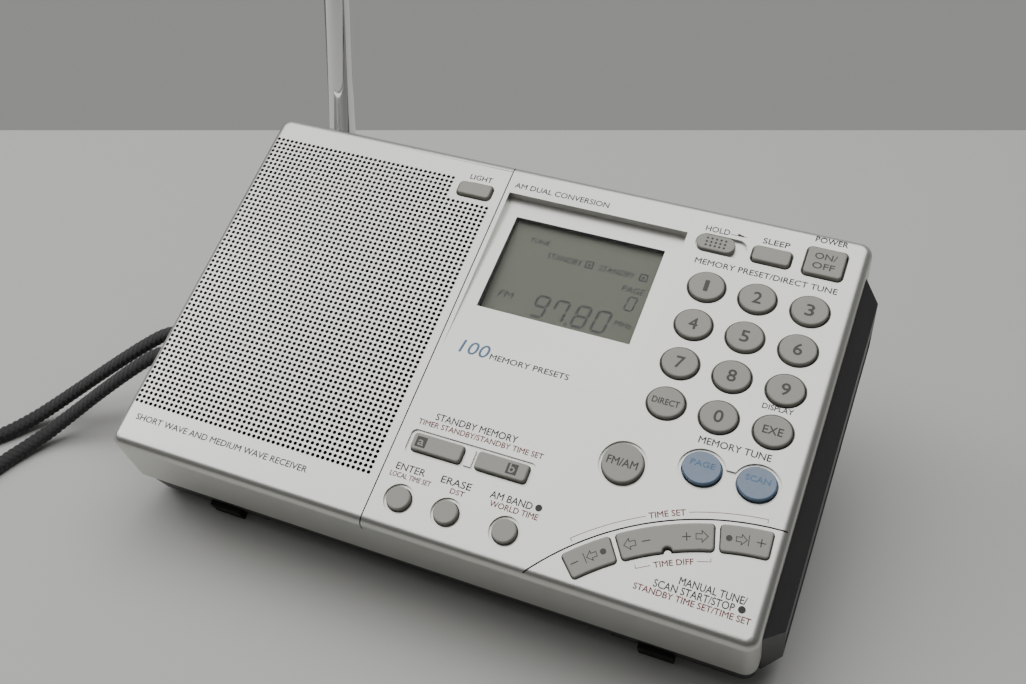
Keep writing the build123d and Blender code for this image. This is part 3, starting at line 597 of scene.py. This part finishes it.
def makePanel():
    mesh = nodes["control_panel"].data.copy()
    mesh.materials.clear()
    piece = addObject("control_panel_painted", mesh, [materials["silverPaint"], materials["barePlasticAndPaintedShade"]])
    paintShell(mesh)
    ridesOn(piece, "case", "silver_shell", "control_panel")
    print("panel painted,", len(mesh.polygons), "faces")


makePanel()


# Printed words, lines and figures: thin solids on the surfaces, in millimetres
ink = {"thick": 0.03, "sink": 0.01, "copyLift": 0.002, "capHeight": 0.694, "bracket": 0.16}


class Marks:
    # gathers thin solids in the case's frame, then makes one piece of them
    def __init__(self):
        self.work = bmesh.new()

    def plate(self, outline, top):
        low = top - ink["sink"]
        high = top + ink["thick"]
        lower = [self.work.verts.new((x, y, low)) for x, y in outline]
        upper = [self.work.verts.new((x, y, high)) for x, y in outline]
        self.work.faces.new(list(reversed(lower)))
        self.work.faces.new(upper)
        for index in range(len(outline)):
            following = (index + 1) % len(outline)
            self.work.faces.new((lower[index], lower[following], upper[following], upper[index]))

    def line(self, points, width, top):
        for here, there in zip(points, points[1:]):
            way = (Vector(there) - Vector(here)).normalized() * (width / 2)
            across = Vector((-way.y, way.x))
            start = Vector(here) - way
            end = Vector(there) + way
            self.plate([start - across, end - across, end + across, start + across], top)

    def disc(self, x, y, radius, top, sides=20):
        angles = [2 * math.pi * side / sides for side in range(sides)]
        self.plate([(x + radius * math.cos(angle), y + radius * math.sin(angle)) for angle in angles], top)

    def words(self, text, left, right, middle, height, top, bend=None, bold=0.035, slant=0.0, inRecess=False):
        # four copies, a hair apart, for the weight of the print
        source = wordMesh(text, slant)
        width = max(vertex.co.x for vertex in source.vertices)
        for number, (moveX, moveY) in enumerate(((-bold, 0), (bold, 0), (0, bold), (0, -bold))):
            lift = number * ink["copyLift"]
            mesh = source.copy()
            for vertex in mesh.vertices:
                x = left + vertex.co.x * (right - left) / width + moveX
                y = middle + (vertex.co.y - 0.5) * height + moveY
                base = recessFloor(y) if inRecess else top
                z = base - ink["sink"] + vertex.co.z * (ink["thick"] + ink["sink"] + lift)
                if bend:
                    centre, radius, angle = bend
                    swing = math.radians(angle) - (x - (left + right) / 2) / radius
                    reach = radius + (y - middle)
                    x = centre[0] + reach * math.cos(swing)
                    y = centre[1] + reach * math.sin(swing)
                vertex.co = (x, y, z)
            self.work.from_mesh(mesh)
            bpy.data.meshes.remove(mesh)

    def finish(self, name, material, body, slotName):
        mesh = bpy.data.meshes.new(name)
        self.work.to_mesh(mesh)
        self.work.free()
        mesh.transform(caseMatrix)
        piece = addObject(name, mesh, [materials[material]])
        return ridesOn(piece, body, slotName)


def wordMesh(text, slant):
    # letters as a closed mesh: cap height 0 to 1, starting at X = 0, Z from 0 to 1
    curve = bpy.data.curves.new("words", "FONT")
    curve.body = text
    curve.resolution_u = 3
    curve.extrude = 0.5
    curve.shear = slant
    holder = bpy.data.objects.new("words", curve)
    bpy.context.scene.collection.objects.link(holder)
    mesh = evaluatedMesh(holder)
    bpy.data.objects.remove(holder)
    work = bmesh.new()
    work.from_mesh(mesh)
    bmesh.ops.remove_doubles(work, verts=work.verts, dist=1e-5)
    work.to_mesh(mesh)
    work.free()
    start = min(vertex.co.x for vertex in mesh.vertices)
    for vertex in mesh.vertices:
        vertex.co = (vertex.co.x - start, vertex.co.y / ink["capHeight"], vertex.co.z + 0.5)
    return mesh


faceTop = case["face"]

# words, left, right, middle height, letter height
blackWords = (
    ("AM DUAL CONVERSION", -10.8, 18.6, 110.9, 1.75), ("LIGHT", -25.2, -18.1, 110.5, 1.7),
    ("HOLD", 47.6, 54.5, 110.8, 1.75), ("SLEEP", 64.0, 71.5, 110.8, 1.75), ("POWER", 77.6, 86.5, 115.0, 1.75),
    ("MEMORY PRESET/DIRECT TUNE", 47.7, 87.2, 99.9, 1.75), ("DISPLAY", 77.2, 85.3, 62.2, 1.5),
    ("MEMORY TUNE", 64.4, 83.4, 48.4, 1.9), ("STANDBY MEMORY", -4.7, 19.1, 34.2, 2.0),
    ("ENTER", -9.6, -1.2, 18.0, 1.95), ("ERASE", 3.6, 12.2, 18.0, 1.95), ("AM BAND", 17.7, 29.4, 18.0, 1.95),
    ("MANUAL TUNE/", 70.8, 87.6, 11.1, 1.95), ("SCAN START/STOP", 65.0, 85.2, 8.7, 1.95),
    ("SHORT WAVE AND MEDIUM WAVE RECEIVER", -88.4, -33.0, 9.3, 1.8),
)
redWords = (
    ("TIMER STANDBY/STANDBY TIME SET", -8.9, 27.3, 31.7, 1.55), ("LOCAL TIME SET", -10.5, 1.4, 15.6, 1.4),
    ("DST", 7.1, 11.1, 15.6, 1.4), ("WORLD TIME", 18.4, 31.8, 15.6, 1.6),
    ("STANDBY TIME SET/TIME SET", 60.5, 89.8, 6.5, 1.6),
)


def arcPoint(radius, angle):
    return (arc["centre"][0] + radius * math.cos(math.radians(angle)),
            arc["centre"][1] + radius * math.sin(math.radians(angle)))


def arcBracket(marks, radius, span, middle, half, tick):
    # a line each side of the words, with a hook at its outer end
    for start, end, hook in ((span[0], middle - half, span[0]), (middle + half, span[1], span[1])):
        steps = 8
        points = [arcPoint(radius, start + (end - start) * step / steps) for step in range(steps + 1)]
        marks.line(points, ink["bracket"], faceTop)
        marks.line([arcPoint(radius, hook), arcPoint(radius + tick, hook)], ink["bracket"], faceTop)


def printPanel():
    black = Marks()
    for text, left, right, middle, height in blackWords:
        black.words(text, left, right, middle, height, faceTop)
    black.words("MEMORY PRESETS", 2.8, 26.0, 55.4, 1.7, faceTop, inRecess=True)
    black.line([(55.0, 110.4), (58.4, 110.4)], 0.18, faceTop)
    black.plate([(56.8, 110.4), (59.6, 110.4), (56.8, 111.2)], faceTop)
    for x, y in ((31.1, 18.1), (87.0, 8.8)):
        black.disc(x, y, 0.95, faceTop)
    black.finish("black_legends", "blackInk", "case", "silver_shell")
    red = Marks()
    for text, left, right, middle, height in redWords:
        red.words(text, left, right, middle, height, faceTop)
    for text, radius, angle, width, height in (("TIME SET", arc["setRadius"], arc["setMiddle"], 9.3, 1.6),
                                               ("TIME DIFF", arc["diffRadius"], arc["diffMiddle"], 9.8, 1.5)):
        red.words(text, -width / 2, width / 2, 0, height, faceTop, bend=(arc["centre"], radius, angle))
    arcBracket(red, arc["setRadius"], arc["setSpan"], arc["setMiddle"], 4.1, -0.9)
    arcBracket(red, arc["diffRadius"], arc["diffSpan"], arc["diffMiddle"], 5.2, 0.9)
    red.finish("red_legends", "redInk", "case", "silver_shell")
    blue = Marks()
    blue.words("100", -6.5, 2.2, 56.4, 4.0, faceTop, slant=0.12, inRecess=True)
    blue.finish("blue_hundred", "blueInk", "case", "silver_shell")
    print("panel legends printed")


printPanel()

# Legends on the keys: each has its words, place, width and height
keyTop = case["face"] + 1.1
keypad = {"columns": (53.3, 67.5, 81.8), "rows": (92.1, 79.9, 67.7, 55.5), "digitWidth": 2.3,
          "digitHeight": 3.4, "digitBold": 0.09, "wordBold": 0.05}
columns = keypad["columns"]
rows = keypad["rows"]
keyWords = {}
for index in range(9):
    keyWords["key_%d" % (index + 1)] = (str(index + 1), columns[index % 3], rows[index // 3],
                                        keypad["digitWidth"], keypad["digitHeight"])
keyWords["key_1"] = ("1", columns[0], rows[0], 1.1, keypad["digitHeight"])  # a narrow figure
keyWords["key_0"] = ("0", columns[1], rows[3], 2.4, keypad["digitHeight"])
keyWords["key_direct"] = ("DIRECT", columns[0], rows[3], 7.4, 1.7)
keyWords["key_exe"] = ("EXE", columns[2], rows[3], 5.2, 2.2)
keyWords["band_button"] = ("FM/AM", 47.8, 36.0, 8.2, 2.2)


def printKeys():
    for node, (text, x, y, width, height) in keyWords.items():
        marks = Marks()
        bold = keypad["digitBold"] if height == keypad["digitHeight"] else keypad["wordBold"]
        marks.words(text, x - width / 2, x + width / 2, y, height, keyTop, bold=bold)
        marks.finish(node + "_legend", "keyInkAndDimpleShade", node, "grey_key")
    marks = Marks()
    marks.words("ON/", 78.8, 84.8, 109.2, 1.9, keyTop)
    marks.words("OFF", 78.8, 84.8, 106.1, 1.9, keyTop)
    marks.finish("power_button_legend", "keyInkAndDimpleShade", "power_button", "grey_key")
    for node, x, letter in (("standby_a_button", -5.4, "a"), ("standby_b_button", 20.9, "b")):
        marks = Marks()
        marks.plate([(x - 1.5, 24.2), (x + 1.5, 24.2), (x + 1.5, 27.2), (x - 1.5, 27.2)], keyTop)
        marks.finish(node + "_badge", "keyInkAndDimpleShade", node, "grey_key")
        marks = Marks()
        marks.words(letter, x - 0.8, x + 0.8, 25.9, 2.4, keyTop + 0.03)
        marks.finish(node + "_letter", "greyKey", node, "grey_key")
    for node, x, text in (("page_button", 67.5, "PAGE"), ("scan_button", 81.8, "SCAN")):
        marks = Marks()
        marks.words(text, x - 3.2, x + 3.2, 41.6, 1.5, keyTop)
        marks.finish(node + "_legend", "blueInk", node, "blue_key")


def arrow(marks, radius, angle, size, way):
    # outlined arrow along the arc; way is 1 clockwise, -1 the other way
    shape = [(-1.0, -0.5), (0.1, -0.5), (0.1, -1.1), (1.2, 0.0),
             (0.1, 1.1), (0.1, 0.5), (-1.0, 0.5), (-1.0, -0.5)]
    points = []
    for x, y in shape:
        points.append(arcPoint(radius + y * size, angle - way * math.degrees(x * size / radius)))
    marks.line(points, 0.2, keyTop)


def sign(marks, radius, angle, size, plus):
    step = math.degrees(size / radius)
    marks.line([arcPoint(radius, angle - step), arcPoint(radius, angle + step)], 0.28, keyTop)
    if plus:
        marks.line([arcPoint(radius - size, angle), arcPoint(radius + size, angle)], 0.28, keyTop)


def printArcKeys():
    radius = arc["keys"]
    marks = Marks()
    sign(marks, radius, 133.3, 0.9, False)
    arrow(marks, radius, 129.4, 1.2, -1)
    marks.line([arcPoint(radius - 1.3, 131.0), arcPoint(radius + 1.3, 131.0)], 0.22, keyTop)
    marks.disc(*arcPoint(radius, 127.0), 0.8, keyTop)
    marks.finish("tune_down_key_legend", "keyInkAndDimpleShade", "tune_down_key", "grey_key")
    marks = Marks()
    arrow(marks, radius, 121.3, 1.35, -1)
    sign(marks, radius, 118.0, 0.95, False)
    sign(marks, radius, 109.8, 0.95, True)
    arrow(marks, radius, 106.8, 1.35, 1)
    marks.finish("tune_rocker_legend", "keyInkAndDimpleShade", "tune_rocker", "grey_key")
    marks = Marks()
    marks.disc(*arcPoint(radius, 101.3), 0.8, keyTop)
    arrow(marks, radius, 98.9, 1.2, 1)
    marks.line([arcPoint(radius - 1.3, 97.4), arcPoint(radius + 1.3, 97.4)], 0.22, keyTop)
    sign(marks, radius, 94.9, 0.95, True)
    marks.finish("tune_up_key_legend", "keyInkAndDimpleShade", "tune_up_key", "grey_key")


def fillNotch():
    # painted tongue of the face in the notch of the rocker
    marks = Marks()
    marks.disc(*arcPoint(66.25, 114.0), 0.95, faceTop - 0.08)
    marks.finish("rocker_notch_tongue", "silverPaint", "case", "silver_shell")


printKeys()
printArcKeys()
fillNotch()
print("key legends printed")

# Display figures: seven-segment digits and small words just over the module's glass
lcd = {
    "top": case["face"] - 4.3, "slant": 0.13, "wordSlant": 0.1, "wordBold": 0.06, "segmentGap": 0.12,
    "figures": "9780", "left": 7.1, "low": 72.7, "pitch": 5.9, "pointGap": 0.6, "size": (3.6, 6.7, 0.85),
    "point": (10.7, 11.5, 0.4), "page": (32.3, 81.5), "pageSize": (2.4, 4.4, 0.55),
    "clocks": (17.3, 33.6), "clockLow": 91.7, "clockSide": 2.1, "clockLine": 0.45, "clockDot": 0.5,
    "words": (
        ("TUNE", -1.3, 5.0, 96.5, 1.5), ("STANDBY", 5.4, 16.3, 92.7, 1.9), ("STANDBY", 21.3, 32.1, 92.7, 1.9),
        ("PAGE", 29.8, 36.5, 88.1, 1.9), ("MHz", 31.3, 36.4, 76.9, 1.7), ("FM", -3.9, 0.7, 77.2, 2.2),
    ),
}
segments = {
    "0": "abcdef", "1": "bc", "2": "abdeg", "3": "abcdg", "4": "bcfg", "5": "acdfg", "6": "acdefg",
    "7": "abcf", "8": "abcdefg", "9": "abcdfg",
}


def digit(marks, figure, left, low, width, height, thick):
    right = left + width
    middle = low + height / 2
    top = low + height
    gap = lcd["segmentGap"]
    runs = {
        "a": ((left, top), (right, top)), "b": ((right, top), (right, middle)),
        "c": ((right, middle), (right, low)), "d": ((left, low), (right, low)),
        "e": ((left, middle), (left, low)), "f": ((left, top), (left, middle)),
        "g": ((left, middle), (right, middle)),
    }
    for name in segments[figure]:
        start, end = (Vector(point) for point in runs[name])
        way = (end - start).normalized()
        across = Vector((-way.y, way.x)) * thick / 2
        start = start + way * gap
        end = end - way * gap
        taper = way * thick / 2
        shape = [start, start + taper - across, end - taper - across, end, end - taper + across,
                 start + taper + across]
        shape = [Vector((point.x + (point.y - low) * lcd["slant"], point.y)) for point in shape]
        if (shape[1] - shape[0]).cross(shape[2] - shape[1]) < 0:
            shape.reverse()
        marks.plate(shape, lcd["top"])


def makeDisplay():
    marks = Marks()
    left = lcd["left"]
    low = lcd["low"]
    for index, figure in enumerate(lcd["figures"]):
        pastPoint = lcd["pointGap"] if index > 1 else 0
        digit(marks, figure, left + index * lcd["pitch"] + pastPoint, low, *lcd["size"])
    start, end, half = lcd["point"]
    marks.plate([(left + start, low - half), (left + end, low - half), (left + end, low + half),
                 (left + start, low + half)], lcd["top"])
    digit(marks, "0", *lcd["page"], *lcd["pageSize"])
    for text, start, end, middle, height in lcd["words"]:
        marks.words(text, start, end, middle, height, lcd["top"], bold=lcd["wordBold"],
                    slant=lcd["wordSlant"])
    y = lcd["clockLow"]
    side = lcd["clockSide"]
    for x in lcd["clocks"]:
        marks.line([(x, y), (x + side, y), (x + side, y + side), (x, y + side), (x, y)], lcd["clockLine"],
                   lcd["top"])
        marks.disc(x + side / 2, y + 1.0, lcd["clockDot"], lcd["top"], 12)
    marks.finish("display_figures", "lcdInk", "case", "lcd")
    print("display figures made")


makeDisplay()


# Thumb wheels: rim and hub stand out of a shallow dish in the end toward the face, in millimetres
wheel = {"radius": 10.0, "bore": 1.56, "thick": 3.6, "teeth": 64, "toothWidth": 0.55, "groove": 0.35,
         "edge": 0.3, "dish": 0.35, "rim": 2.2, "rimFoot": 2.5, "hub": 1.0, "hubFoot": 1.2, "steps": 96}


def makeWheelTree():
    # a toothed ring: teeth round a drum, as instances turned about its middle
    tree = bpy.data.node_groups.new("wheelTeeth", "GeometryNodeTree")
    sockets = {"Drum": inputSocket(tree, "Drum", "NodeSocketGeometry"),
               "Teeth": inputSocket(tree, "Teeth", "NodeSocketInt", wheel["teeth"]),
               "Radius": inputSocket(tree, "Radius", "NodeSocketFloat", wheel["radius"]),
               "Tooth": inputSocket(tree, "Tooth", "NodeSocketVector"),
               "Material": inputSocket(tree, "Material", "NodeSocketMaterial")}
    tree.interface.new_socket(name="Wheel", in_out="OUTPUT", socket_type="NodeSocketGeometry")
    enter = tree.nodes.new("NodeGroupInput").outputs
    leave = tree.nodes.new("NodeGroupOutput")
    link = tree.links.new
    ring = tree.nodes.new("GeometryNodeMeshCircle")
    link(enter["Teeth"], ring.inputs["Vertices"])
    link(enter["Radius"], ring.inputs["Radius"])
    tooth = tree.nodes.new("GeometryNodeMeshCube")
    link(enter["Tooth"], tooth.inputs["Size"])
    index = tree.nodes.new("GeometryNodeInputIndex")
    angle = mathNode(tree, "MULTIPLY", mathNode(tree, "DIVIDE", index.outputs[0], enter["Teeth"]),
                     2 * math.pi)
    spin = tree.nodes.new("ShaderNodeCombineXYZ")
    link(angle, spin.inputs["Z"])
    teeth = tree.nodes.new("GeometryNodeInstanceOnPoints")
    link(ring.outputs[0], teeth.inputs["Points"])
    link(tooth.outputs["Mesh"], teeth.inputs["Instance"])
    link(spin.outputs[0], teeth.inputs["Rotation"])
    join = tree.nodes.new("GeometryNodeJoinGeometry")
    link(enter["Drum"], join.inputs[0])
    link(teeth.outputs[0], join.inputs[0])
    solid = tree.nodes.new("GeometryNodeRealizeInstances")
    link(join.outputs[0], solid.inputs[0])
    painted = tree.nodes.new("GeometryNodeSetMaterial")
    link(solid.outputs[0], painted.inputs["Geometry"])
    link(enter["Material"], painted.inputs["Material"])
    link(painted.outputs[0], leave.inputs[0])
    return tree, sockets


def drumMesh():
    # turned profile with a bore, a little below the teeth
    radius = wheel["radius"] - wheel["groove"]
    half = wheel["thick"] / 2
    edge = wheel["edge"]
    bore = wheel["bore"]
    dish = half - wheel["dish"]
    steps = wheel["steps"]
    profile = [(bore, -half), (radius - edge, -half), (radius, -half + edge), (radius, half - edge),
               (radius - edge, half), (radius - wheel["rim"], half), (radius - wheel["rimFoot"], dish),
               (bore + wheel["hubFoot"], dish), (bore + wheel["hub"], half), (bore, half)]
    work = bmesh.new()
    rings = []
    for reach, z in profile:
        angles = [2 * math.pi * step / steps for step in range(steps)]
        places = [(reach * math.cos(angle), reach * math.sin(angle), z) for angle in angles]
        rings.append([work.verts.new(place) for place in places])
    for index in range(len(profile)):
        here = rings[index]
        there = rings[(index + 1) % len(profile)]
        for step in range(steps):
            following = (step + 1) % steps
            work.faces.new((here[step], here[following], there[following], there[step]))
    bmesh.ops.recalc_face_normals(work, faces=work.faces)
    mesh = bpy.data.meshes.new("drum")
    work.to_mesh(mesh)
    work.free()
    return mesh


def makeWheels():
    tree, sockets = makeWheelTree()
    for node in ("volume_wheel", "attenuator_wheel"):
        low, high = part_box(node)
        holder = addObject("wheelWork", drumMesh())
        modifier = holder.modifiers.new("teeth", "NODES")
        modifier.node_group = tree
        modifier[sockets["Radius"]] = wheel["radius"] - wheel["groove"]
        modifier[sockets["Tooth"]] = (wheel["groove"] * 2, wheel["toothWidth"],
                                      wheel["thick"] - 2 * wheel["edge"])
        modifier[sockets["Material"]] = materials["blackKnob"]
        mesh = evaluatedMesh(holder)
        bpy.data.objects.remove(holder)
        middle = toCase @ ((low + high) / 2)
        mesh.transform(caseMatrix @ Matrix.Translation(middle))
        smoothByAngle(mesh, 30)
        piece = addObject(node + "_knurled", mesh)
        ridesOn(piece, node, "black_case", node)
    print("wheels knurled")


makeWheels()


dimples = {"columns": 5, "rows": 3, "pitchX": 1.3, "pitchY": 1.15, "radius": 0.36, "flat": 0.01}


def makeHoldDimples():
    # dark spots in rows on top of the hold switch, which slide with it: painted shade in its dimples
    marks = Marks()
    places = [toCase @ vertex.co for vertex in nodes["hold_switch"].data.vertices]
    top = max(place.z for place in places)
    upper = [place for place in places if place.z > top - dimples["flat"]]
    middle = sum(upper, Vector()) / len(upper)
    for column in range(dimples["columns"]):
        x = middle.x + (column - (dimples["columns"] - 1) / 2) * dimples["pitchX"]
        for row in range(dimples["rows"]):
            y = middle.y + (row - (dimples["rows"] - 1) / 2) * dimples["pitchY"]
            marks.disc(x, y, dimples["radius"], top, 12)
    marks.finish("hold_switch_dimple_shade", "keyInkAndDimpleShade", "hold_switch", "grey_key")


makeHoldDimples()


# The other CAD pieces keep their shape and get a finish
plain = {
    "rear_cabinet": "blackCase", "side_cover": "blackCase", "battery_door": "blackCase", "stand": "blackCase",
    "rear_feet": "rubberFoot", "jack_sockets": "blackKnob", "tone_switch": "blackKnob",
    "mode_switch": "blackKnob", "sideband_switch": "blackKnob", "case_screws": "steel",
    "strap_anchor": "steel", "battery_contacts": "steel", "lcd_module": "lcdGlass",
    "display_window": "clearWindow", "key_mat": "keyRubber", "main_board": "boardGreen",
    "ferrite_antenna": "ferrite", "speaker_frame": "speakerMetal", "speaker_cone": "conePaper",
    "batteries": "cellSleeve", "page_button": "blueKey", "scan_button": "blueKey",
}
remade = ("speaker_grille", "control_panel", "hand_strap", "volume_wheel", "attenuator_wheel")
for name, piece in nodes.items():
    if name in remade:
        continue
    finish = plain.get(name, "chrome" if name.startswith("antenna") else "greyKey")
    if not piece.material_slots:
        piece.data.materials.append(materials[finish])
    for slot in piece.material_slots:
        slot.material = materials[finish]
print("finishes set on the CAD pieces")


# Stage: distances in metres, ahead of the camera's foot
stage = {"away": 0.484, "front": -0.25, "half": 1.2, "floorShade": (0.57, 0.57, 0.545),
         "backTone": (0.285, 0.285, 0.275), "dimLight": 0.07, "backLight": 0.30}


def makeStage():
    material, _, shader = startMaterial("paleStage")
    shader.inputs["Base Color"].default_value = stage["floorShade"] + (1,)
    shader.inputs["Roughness"].default_value = 0.6
    # floor square to the camera's heading; its far edge is the horizon behind the receiver
    heading = Matrix.Rotation(math.radians(camera["lookLeft"]), 4, "Z")
    base = Matrix.Translation((cameraObject.location.x, cameraObject.location.y, 0)) @ heading
    half = stage["half"]
    corners = [(-half, stage["front"]), (half, stage["front"]), (half, stage["away"]), (-half, stage["away"])]
    mesh = bpy.data.meshes.new("stage_floor")
    mesh.from_pydata([base @ Vector((x, y, 0)) for x, y in corners], [], [(0, 1, 2, 3)])
    addObject("stage_floor", mesh, [material])


def makeWorld():
    # the camera sees an even backdrop; the light is dim in front and stronger from behind
    world = bpy.data.worlds.new("studio")
    world.use_nodes = True
    tree = world.node_tree
    backdrop = tree.nodes["Background"]
    place = tree.nodes.new("ShaderNodeTexCoord")
    split = tree.nodes.new("ShaderNodeSeparateXYZ")
    tree.links.new(place.outputs["Generated"], split.inputs[0])
    behind = mathNode(tree, "MAXIMUM", split.outputs["Y"], 0.0)
    strength = mathNode(tree, "ADD", mathNode(tree, "MULTIPLY", behind, stage["backLight"]),
                        stage["dimLight"])
    rays = tree.nodes.new("ShaderNodeLightPath")
    seen = mixColors(tree, rays.outputs["Is Camera Ray"], strength, stage["backTone"])
    tree.links.new(seen, backdrop.inputs["Color"])
    bpy.context.scene.world = world


def areaLight(name, place, aim, size, power):
    data = bpy.data.lights.new(name, "AREA")
    data.shape = "RECTANGLE"
    data.size, data.size_y = size
    data.energy = power
    light = bpy.data.objects.new(name, data)
    bpy.context.scene.collection.objects.link(light)
    light.location = place
    light.rotation_euler = (Vector(aim) - Vector(place)).to_track_quat("-Z", "Y").to_euler()


makeStage()
areaLight("overheadSoftbox", (-0.15, 0.12, 1.1), (0, 0, 0), (1.7, 1.2), 13.5)
areaLight("leftFill", (-0.9, -0.1, 0.7), (0, 0, 0.05), (0.6, 0.6), 2.5)
makeWorld()
print("stage and lights set")
